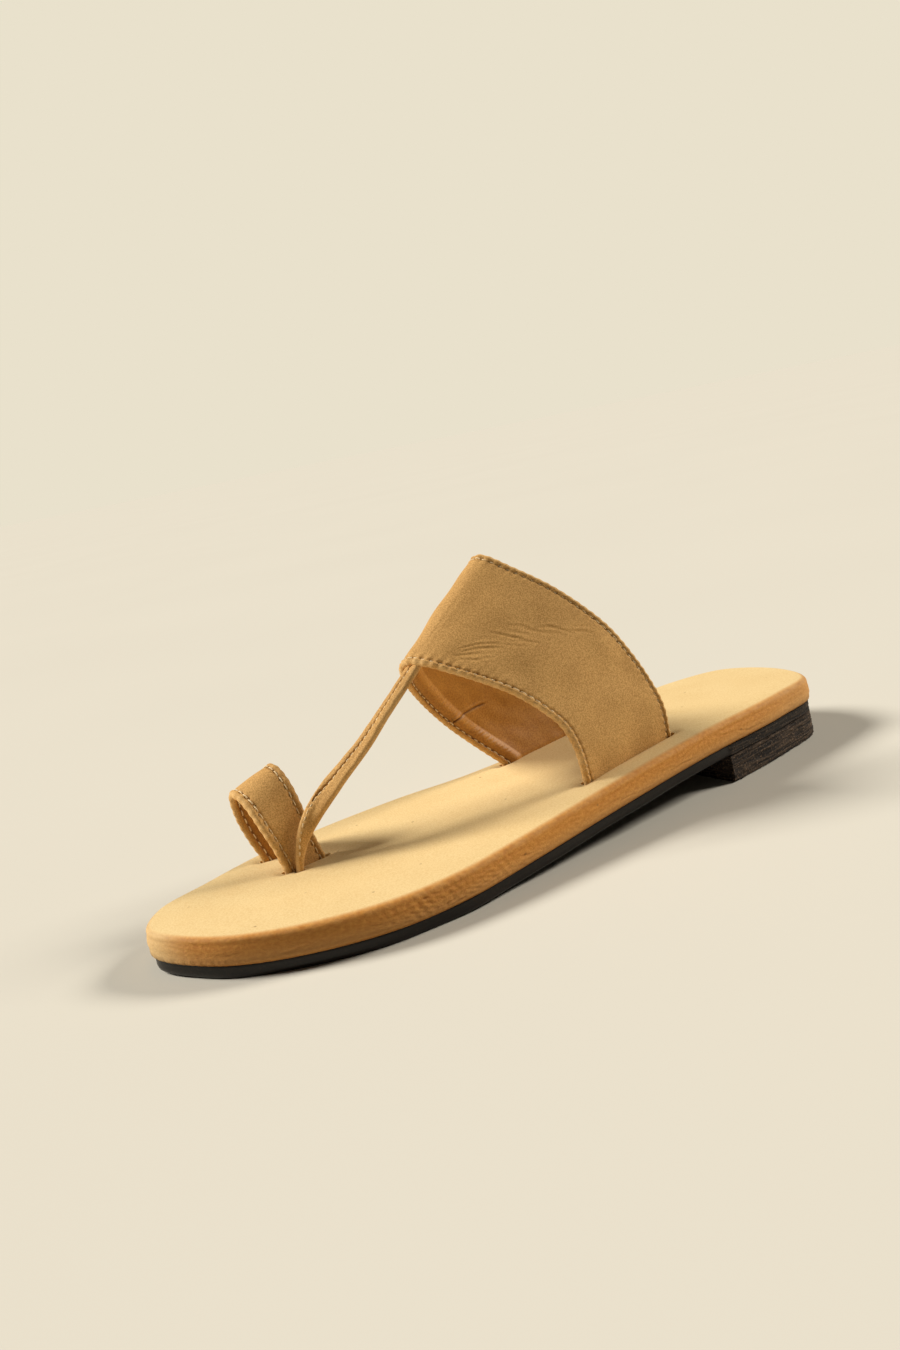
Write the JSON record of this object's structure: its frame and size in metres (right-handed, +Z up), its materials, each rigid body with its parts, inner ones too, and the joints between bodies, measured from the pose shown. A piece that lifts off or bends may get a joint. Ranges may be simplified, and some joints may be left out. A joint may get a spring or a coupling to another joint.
{
  "type": "kolhapuri sandal",
  "caption": "Flat slide sandal for the left foot: wrapped footbed on a thin rubber sole and low heel, wide instep band, T strap and big-toe loop.",
  "frame": {"origin": "on the ground, under the middle of the sandal's length and width", "axes": "+Z up, +Y towards the heel, -Y towards the toes, +X towards the outer (little toe) side"},
  "size_m": [0.0827, 0.25, 0.0922],
  "materials": {
    "outsole_rubber": "black sheet rubber, slightly glossy cut edge",
    "heel_rubber": "brown-black rubber, matt, with fine level striations from cutting",
    "footbed_wrap": "pale tan synthetic nubuck, matt, creased where it turns over the edge",
    "strap_nubuck": "mid tan synthetic nubuck, matt with a soft nap, folded edges",
    "strap_lining": "rust-tan smooth lining with a low sheen",
    "stitching": "light tan twisted thread"
  },
  "bodies": {
    "root": {"outsole": "outsole_rubber", "heel_block": "heel_rubber", "footbed": "footbed_wrap", "upper": "strap_nubuck", "toe_loop": "strap_nubuck"}
  },
  "joints": []
}
